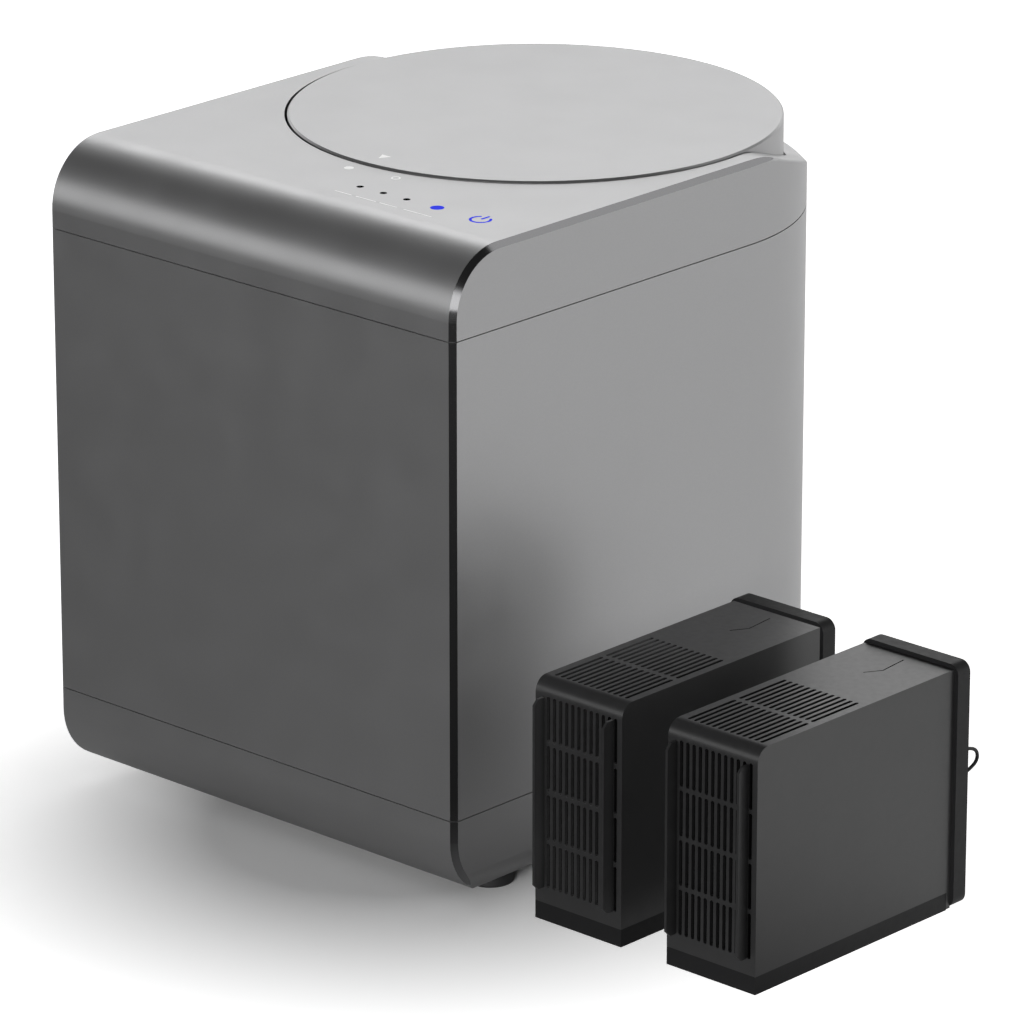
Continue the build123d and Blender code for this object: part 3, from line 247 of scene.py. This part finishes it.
def case_plastic(name):
    """Charcoal plastic of the cartridges, with painted shade in its slots: ambient occlusion darkens the
    colour and takes away the specular there.
    """
    m = grained(name, (0.026, 0.026, 0.0265), 0.34, 0.4 * MM, 0.012 * MM, Specular_IOR_Level=0.78)
    open_sky = m.node("ShaderNodeAmbientOcclusion", only_local=True, samples=8)
    open_sky.inputs["Distance"].default_value = PAINTED_SHADE_REACH
    painted_shade = m.ranged(open_sky.outputs["AO"], 1.0, 0.0, *PAINTED_SHADE_OPEN)
    # painted shade: nearly black colour and no specular where the slots are closed in
    m.swap("Base Color", painted_shade, (0.004, 0.004, 0.004, 1))
    m.swap("Specular IOR Level", painted_shade, 0.0)
    return m


def rubber(name):
    m = Finish(name, (0.022, 0.022, 0.023), 0.62, Specular_IOR_Level=0.35)
    m.tint(m.noise(6 * MM, 4.0), 0.8, 1.3)
    return m.bump(m.noise(0.6 * MM, 3.0), 0.05 * MM, 0.5)


def brushed(name, color, rough, along, metal=1.0):
    """Metal with fine lines along one axis."""
    m = Finish(name, color, rough, metal, Anisotropic=0.4)
    stretch = [1.0 if axis != along else 0.02 for axis in range(3)]
    lines = m.noise(0.4 * MM, 3.0, stretch)
    m.tint(lines, 0.88, 1.08)
    m.gloss(lines, 0.07)
    return m.bump(lines, 0.01 * MM, 0.4)


def cast_metal(name, color, rough):
    m = Finish(name, color, rough, 0.9)
    m.tint(m.noise(25 * MM, 4.0), 0.86, 1.06)
    m.gloss(m.noise(5 * MM, 4.0), 0.08)
    return m.bump(m.noise(0.8 * MM, 3.0), 0.03 * MM, 0.5)


def circuit_board(name):
    m = Finish(name, (0.02, 0.13, 0.06), 0.35)
    m.tint(m.cells(3.5 * MM, "DISTANCE_TO_EDGE"), 1.7, 1.0, 0.02, 0.08)
    return m.bump(m.cells(1.2 * MM), 0.05 * MM, 0.4)


def carbon(name):
    m = Finish(name, (0.005, 0.005, 0.005), 0.7, Specular_IOR_Level=0.1)
    m.tint(m.cells(2.2 * MM), 1.8, 0.5, 0.1, 0.8)
    return m.bump(m.cells(2.2 * MM), 0.8 * MM)


def braided_cord(name):
    m = Finish(name, (0.014, 0.014, 0.015), 0.6, Sheen_Weight=0.3)
    strands = m.cells(0.55 * MM, stretch=(1, 1, 0.6))
    m.tint(strands, 1.5, 0.6, 0.1, 0.7)
    return m.bump(strands, 0.12 * MM)


def lit(name, color, strength):
    """Frosted light that outshines what falls on it."""
    unlit = tuple(0.1 * c for c in color)
    glow = dict(Emission_Color=(*color, 1), Emission_Strength=strength)
    m = Finish(name, unlit, 0.6, Specular_IOR_Level=0.0, **glow)
    m.tint(m.noise(1.5 * MM, 2.0), 0.8, 1.2)
    return m


def white_print(name):
    """White ink with a pearl sheen."""
    m = Finish(name, (0.90, 0.90, 0.90), 0.34, 0.55)
    m.tint(m.noise(0.5 * MM, 2.0), 0.95, 1.02)
    return m.bump(m.noise(0.2 * MM), 0.004 * MM, 0.4)


def window(name):
    m = Finish(name, (0.006, 0.006, 0.007), 0.5, Specular_IOR_Level=0.0)
    m.gloss(m.noise(2 * MM, 2.0), 0.05)
    return m


def make_finishes():
    """One material per slot of the record."""
    made = {
        "grey_satin": satin_paint("grey_satin", cut_bevel=True),
        "touch_key": satin_paint("touch_key"),
        "charcoal_plastic": case_plastic("charcoal_plastic"),
        "black_plastic": grained("black_plastic", (0.008, 0.008, 0.0085), 0.5, 0.9 * MM, 0.05 * MM,
                                 Specular_IOR_Level=0.3),
        "light_plastic": grained("light_plastic", (0.55, 0.55, 0.56), 0.42),
        "gear_plastic": grained("gear_plastic", (0.72, 0.70, 0.64), 0.38),
        "black_rubber": rubber("black_rubber"),
        "steel": brushed("steel", (0.56, 0.56, 0.57), 0.3, 0),
        "zinc_steel": brushed("zinc_steel", (0.46, 0.46, 0.47), 0.4, 1),
        "bronze": cast_metal("bronze", (0.45, 0.27, 0.11), 0.42),
        "cast_aluminium": cast_metal("cast_aluminium", (0.42, 0.42, 0.43), 0.38),
        "board_green": circuit_board("board_green"),
        "carbon": carbon("carbon"),
        "black_cord": braided_cord("black_cord"),
        "dark_window": window("dark_window"),
        "blue_light": lit("blue_light", (0.045, 0.060, 0.82), 0.95),
    }
    return {slot: finish.material for slot, finish in made.items()}


def dress(frame, finishes):
    """Give each CAD node the material of its slot."""
    slots = {part["node"]: part["material_slot"] for part in frame["record"]["subparts"]}
    for name, node in frame["nodes"].items():
        node.data.materials.clear()
        node.data.materials.append(finishes[slots[name]])


def keep_out_of_mirrors(frame, ending):
    """One cartridge is left out of what metal and glass show, which keeps the machine's side lighter."""
    for name, node in frame["nodes"].items():
        if name.startswith(("cartridge", "carbon")) and name.endswith(ending):
            node.visible_glossy = False


# ---- pieces ------------------------------------------------------------------------------------
def add(name, data, material, body):
    """Put a piece into the scene on its body."""
    piece = bpy.data.objects.new(name, data)
    bpy.context.scene.collection.objects.link(piece)
    data.materials.append(material)
    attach(piece, body)
    return piece


def flat_piece(name, loops, z, material, body):
    """Thin printed film: closed outlines in mm, in pairs of outer and inner where there is a hole."""
    mesh = bpy.data.meshes.new(name)
    bm = bmesh.new()
    for outer, inner in loops:
        low = [bm.verts.new((x * MM, y * MM, z)) for x, y in outer]
        top = [bm.verts.new((x * MM, y * MM, z + PRINT_H * MM)) for x, y in outer]
        n = len(outer)
        for k in range(n):
            bm.faces.new((low[k], low[(k + 1) % n], top[(k + 1) % n], top[k]))
        if inner is None:
            bm.faces.new(top)
            bm.faces.new(low[::-1])
            continue
        low2 = [bm.verts.new((x * MM, y * MM, z)) for x, y in inner]
        top2 = [bm.verts.new((x * MM, y * MM, z + PRINT_H * MM)) for x, y in inner]
        for k in range(n):
            j = (k + 1) % n
            bm.faces.new((top[k], top[j], top2[j], top2[k]))
            bm.faces.new((low2[k], low2[j], low[j], low[k]))
            bm.faces.new((low2[j], low2[k], top2[k], top2[j]))
    bm.normal_update()
    bm.to_mesh(mesh)
    bm.free()
    return add(name, mesh, material, body)


def on_circle(x, y, r, angle):
    return x + r * math.cos(angle), y + r * math.sin(angle)


def circle(x, y, r, n=40):
    return [on_circle(x, y, r, 2 * math.pi * k / n) for k in range(n)]


def rounded_bar(x0, y0, x1, y1, w, n=8):
    """Straight stroke with round ends."""
    turn = math.atan2(y1 - y0, x1 - x0)
    points = []
    for x, y, start in ((x1, y1, turn - math.pi / 2), (x0, y0, turn + math.pi / 2)):
        points += [on_circle(x, y, w / 2, start + math.pi * k / n) for k in range(n + 1)]
    return points


def rounded_arc(x, y, r, start, end, w, n=36, tip=8):
    """Arc stroke with round ends; angles in degrees."""
    angles = [math.radians(start + (end - start) * k / n) for k in range(n + 1)]
    half_turn = [math.pi * k / tip for k in range(1, tip)]
    last, first = on_circle(x, y, r, angles[-1]), on_circle(x, y, r, angles[0])
    points = [on_circle(x, y, r + w / 2, a) for a in angles]
    points += [on_circle(*last, w / 2, angles[-1] + b) for b in half_turn]
    points += [on_circle(x, y, r - w / 2, a) for a in reversed(angles)]
    points += [on_circle(*first, w / 2, angles[0] + math.pi + b) for b in half_turn]
    return points


def middle(node):
    low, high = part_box(node)
    return (low + high) / 2


def power_symbol(finishes):
    """Broken ring and a short bar on the touch key."""
    spot, top = middle("power_key"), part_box("power_key")[1].z
    x, y = spot.x / MM, spot.y / MM
    gap = KEY_GAP_DEG / 2
    ring = rounded_arc(x, y, KEY_RING_R, 90 + gap, 450 - gap, KEY_LINE)
    bar = rounded_bar(x, y + KEY_BAR[0], x, y + KEY_BAR[1], KEY_LINE)
    outlines = [(ring, None), (bar, None)]
    flat_piece("power_symbol", outlines, top, finishes["blue_light"], "machine")


def lock_marks(finishes):
    """A full and an open dot beside the lid, and a triangle on it."""
    axis = middle("lid_cap")
    deck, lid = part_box("top_cover")[1].z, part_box("lid_cap")[1].z
    x0, y0 = axis.x / MM, axis.y / MM
    full, hollow = (on_circle(x0, y0, LOCK_MARK_R, math.radians(a)) for a in LOCK_MARKS)
    dot = [(circle(*full, LOCK_DOT_R), None)]
    ring = [(circle(*hollow, LOCK_DOT_R), circle(*hollow, LOCK_DOT_R - LOCK_RING_LINE))]
    x, y = on_circle(x0, y0, LID_MARK_R, math.radians(LID_MARK_DEG))
    s = LID_MARK_SIZE
    triangle = [([(x - s * 0.8, y + s / 2), (x, y - s), (x + s * 0.8, y + s / 2)], None)]
    flat_piece("lock_mark", dot, deck, finishes["white_print"], "machine")
    flat_piece("unlock_mark", ring, deck, finishes["white_print"], "machine")
    flat_piece("lid_mark", triangle, lid, finishes["white_print"], "lid")


def label_strokes(finishes):
    """Plain strokes where each light has its caption."""
    dots = middle("indicator_windows")
    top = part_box("top_cover")[1].z
    x0, y = dots.x / MM, dots.y / MM + LABEL_Y
    for k, (x, length) in enumerate(zip(LABEL_X, LABEL_LENGTHS)):
        stroke = [(rounded_bar(x0 + x - length / 2, y, x0 + x + length / 2, y, LABEL_W), None)]
        flat_piece(f"caption_{k + 1}", stroke, top, finishes["white_print"], "machine")


def pull_cord(name, finishes):
    """Thin cord that leaves a cartridge's end plate and comes back to it."""
    low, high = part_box(f"cartridge_flange_{name}")
    x, y = (low.x + high.x) / 2, high.y
    points = [(x, y + dy * MM, z * MM) for dy, z in LOOP_POINTS]
    curve = bpy.data.curves.new(f"cord_{name}", "CURVE")
    curve.dimensions = "3D"
    curve.bevel_depth = LOOP_D / 2
    curve.bevel_resolution = 4
    curve.use_fill_caps = True
    curve.resolution_u = 12
    spline = curve.splines.new("NURBS")
    spline.points.add(len(points) - 1)
    for point, place in zip(spline.points, points):
        point.co = (*place, 1)
    spline.order_u = 3
    spline.use_endpoint_u = True
    piece = add(f"cord_{name}", curve, finishes["black_cord"], f"cartridge_{name}")
    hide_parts(f"pull_loop_{name}")


# ---- stage -------------------------------------------------------------------------------------
FLOOR_SIZE = 14.0
PAPER_TONE = 1.0
MIRROR_TONE = 0.5              # the paper's glow in metal and glass, beside what its own light gives
PAINTED_SHADOW_AT = (0.029, -0.103, 0)   # middle of a painted shadow under and in front of the machine: the paper's white glow is held back round here, on top of the lamps' own shadow
GLOW = (0.098, 0.309)          # the floor brightens to plain white between these distances from there
PAPER_END = (-0.30, 0.10)      # in front of the object the paper fades into a dark floor that only reflections and bounce light see, while the camera sees white there: a painted dark reflection on the machine's front
DARK_TONE = 0.04
BACKDROP_TOP = (0.26, 0.46)    # the white backdrop ends between these heights, as sines of the angle
ROOM_TONE = 0.02


def studio_tree(owner):
    """Empty node tree with a node that tells kinds of rays apart."""
    owner.use_nodes = True
    tree = owner.node_tree
    tree.nodes.clear()
    return tree, tree.nodes.new("ShaderNodeLightPath")


def ramp(tree, source, axis, ends, values, shape="SMOOTHSTEP"):
    """Step of one coordinate between two values."""
    split = tree.nodes.new("ShaderNodeSeparateXYZ")
    step = tree.nodes.new("ShaderNodeMapRange")
    step.interpolation_type = shape
    for socket, value in zip(("From Min", "From Max", "To Min", "To Max"), (*ends, *values)):
        step.inputs[socket].default_value = value
    tree.links.new(source, split.inputs["Vector"])
    tree.links.new(split.outputs[axis], step.inputs["Value"])
    return step.outputs["Result"]


def joined(tree, operation, first, *others):
    """Values joined by one operation."""
    for value in others:
        node = tree.nodes.new("ShaderNodeMath")
        node.operation = operation
        tree.links.new(first, node.inputs[0])
        tree.links.new(value, node.inputs[1])
        first = node.outputs[0]
    return first


def highest(tree, *values):
    return joined(tree, "MAXIMUM", *values)


def product(tree, *values):
    return joined(tree, "MULTIPLY", *values)


def floor():
    """White paper that keeps the object's shadow, deepened by a painted shadow where its white glow is held
    back near the machine; metal and glass see a painted dark floor in front of it.
    """
    mesh = bpy.data.meshes.new("floor")
    s = FLOOR_SIZE / 2
    mesh.from_pydata([(-s, -s, 0), (s, -s, 0), (s, s, 0), (-s, s, 0)], [], [(0, 1, 2, 3)])
    piece = bpy.data.objects.new("floor", mesh)
    bpy.context.scene.collection.objects.link(piece)
    material = bpy.data.materials.new("floor")
    tree, path = studio_tree(material)
    place = tree.nodes.new("ShaderNodeTexCoord").outputs["Object"]
    # painted dark reflection: in front, the paper is dark to every ray but the camera's, and its glow in
    # metal and glass fades out there too
    paper = ramp(tree, place, "Y", PAPER_END, (DARK_TONE, PAPER_TONE))
    shader = tree.nodes.new("ShaderNodeBsdfDiffuse")
    tree.links.new(highest(tree, paper, path.outputs["Is Camera Ray"]), shader.inputs["Color"])
    away = tree.nodes.new("ShaderNodeVectorMath")
    away.operation = "DISTANCE"
    away.inputs[1].default_value = PAINTED_SHADOW_AT
    tree.links.new(place, away.inputs[0])
    spread = tree.nodes.new("ShaderNodeCombineXYZ")
    tree.links.new(away.outputs["Value"], spread.inputs["X"])
    mirrored = product(tree, ramp(tree, place, "Y", PAPER_END, (0, MIRROR_TONE)),
                       highest(tree, path.outputs["Is Glossy Ray"], path.outputs["Is Transmission Ray"]))
    seen = highest(tree, path.outputs["Is Camera Ray"], mirrored)
    # painted shadow: the white glow is held back near the machine, in reflections too
    white = product(tree, ramp(tree, spread.outputs[0], "X", GLOW, (0, 1), "LINEAR"), seen)
    glow = tree.nodes.new("ShaderNodeEmission")
    tree.links.new(white, glow.inputs["Strength"])
    both = tree.nodes.new("ShaderNodeAddShader")
    tree.links.new(shader.outputs[0], both.inputs[0])
    tree.links.new(glow.outputs[0], both.inputs[1])
    out = tree.nodes.new("ShaderNodeOutputMaterial")
    tree.links.new(both.outputs[0], out.inputs["Surface"])
    mesh.materials.append(material)


def world():
    """White to the camera; in metal and glass a white backdrop that ends above the horizon."""
    made = bpy.data.worlds.new("studio")
    bpy.context.scene.world = made
    tree, path = studio_tree(made)
    place = tree.nodes.new("ShaderNodeTexCoord").outputs["Generated"]
    backdrop = ramp(tree, place, "Z", BACKDROP_TOP, (1, ROOM_TONE))
    seen = tree.nodes.new("ShaderNodeBackground")
    tree.links.new(highest(tree, backdrop, path.outputs["Is Camera Ray"]), seen.inputs["Color"])
    room = tree.nodes.new("ShaderNodeBackground")
    room.inputs["Color"].default_value = (ROOM_TONE,) * 3 + (1,)
    mix = tree.nodes.new("ShaderNodeMixShader")
    out = tree.nodes.new("ShaderNodeOutputWorld")
    rays = [path.outputs[f"Is {kind} Ray"] for kind in ("Camera", "Glossy", "Transmission")]
    tree.links.new(highest(tree, *rays), mix.inputs["Fac"])
    tree.links.new(room.outputs[0], mix.inputs[1])
    tree.links.new(seen.outputs[0], mix.inputs[2])
    tree.links.new(mix.outputs[0], out.inputs["Surface"])


def lamp(name, place, aim, size, watts):
    """Rectangular area lamp that points at a spot."""
    light = bpy.data.lights.new(name, "AREA")
    light.shape = "RECTANGLE"
    light.size, light.size_y = size
    light.energy = watts
    piece = bpy.data.objects.new(name, light)
    piece.location = place
    piece.rotation_mode = "QUATERNION"
    piece.rotation_quaternion = (Vector(aim) - Vector(place)).to_track_quat("-Z", "Y")
    bpy.context.scene.collection.objects.link(piece)
    return piece


def direction(turn, up, reach):
    """Point at a distance from the machine; turn 0 is straight ahead of the front, 90 on the right."""
    a, e = math.radians(turn), math.radians(up)
    return (reach * math.sin(a) * math.cos(e), -reach * math.cos(a) * math.cos(e), reach * math.sin(e))


def lamps():
    """Softboxes round the object: turn and angle up in degrees, distance, width and height in m, watts."""
    boxes = {
        "back_wash": (222, 20, 3.0, 4.0, 1.4, 5.3),
        "back_high": (228, 38, 3.0, 3.0, 0.7, 17),
        "rear_right": (140, 8, 2.6, 2.0, 1.2, 3.5),
        "front_right": (25, 12, 3.0, 1.2, 1.0, 58),
        "top_edge": (152, 40, 2.6, 1.5, 1.5, 3.4),
    }
    for name, (turn, up, reach, width, height, watts) in boxes.items():
        lamp(name, direction(turn, up, reach), (0, 0, 0.2), (width, height), watts)


def camera():
    data = bpy.data.cameras.new("camera")
    data.sensor_width = SENSOR
    data.lens = LENS
    piece = bpy.data.objects.new("camera", data)
    a, e = math.radians(CAMERA_TURN), math.radians(CAMERA_DOWN)
    back = Vector((math.sin(a) * math.cos(e), -math.cos(a) * math.cos(e), math.sin(e)))
    piece.location = CAMERA_AT
    piece.rotation_mode = "QUATERNION"
    piece.rotation_quaternion = (-back).to_track_quat("-Z", "Y")
    bpy.context.scene.collection.objects.link(piece)
    bpy.context.scene.camera = piece


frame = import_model()
bpy.context.scene.view_settings.view_transform = "Standard"
finishes = make_finishes()
finishes["white_print"] = white_print("white_print").material
camera()
for side in ("inner", "outer"):
    pull_cord(side, finishes)
dress(frame, finishes)
keep_out_of_mirrors(frame, "_inner")
power_symbol(finishes)
lock_marks(finishes)
label_strokes(finishes)
floor()
world()
lamps()
